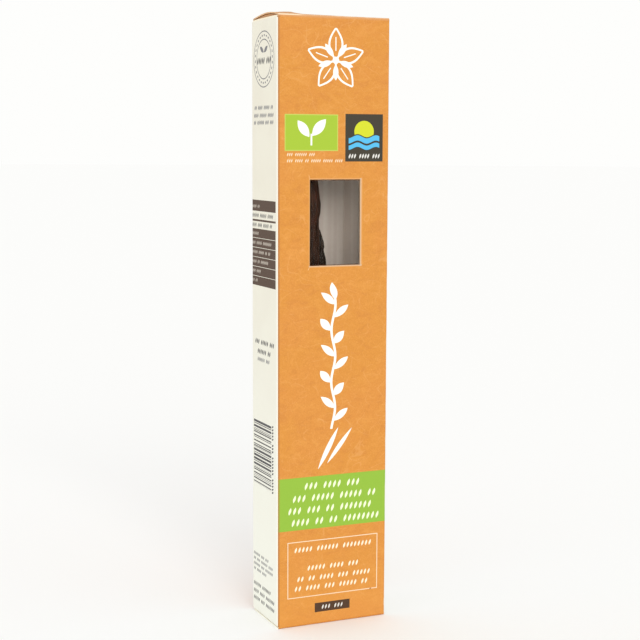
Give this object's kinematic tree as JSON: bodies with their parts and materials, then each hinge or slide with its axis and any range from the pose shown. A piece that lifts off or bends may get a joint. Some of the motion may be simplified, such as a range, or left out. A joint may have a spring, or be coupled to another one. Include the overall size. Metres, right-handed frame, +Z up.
{
  "type": "vanilla pod carton",
  "caption": "Slim upright folding carton, shut, with a clear film window that shows dried vanilla pods inside.",
  "frame": {"origin": "middle of the carton's flat base", "axes": "+Z up along the carton's length, the front panel with the window faces -Y, +X to the right seen from the front"},
  "size_m": [0.0392, 0.0232, 0.2015],
  "materials": {
    "printed_board": "satin print on coated carton board, cream on the narrow sides",
    "clear_film": "clear glossy plastic film",
    "pod_skin": "dark brown, wrinkled, slightly oily"
  },
  "bodies": {
    "root": {"carton": "printed_board", "window_film": "clear_film", "pod_1": "pod_skin", "pod_2": "pod_skin"}
  },
  "joints": []
}
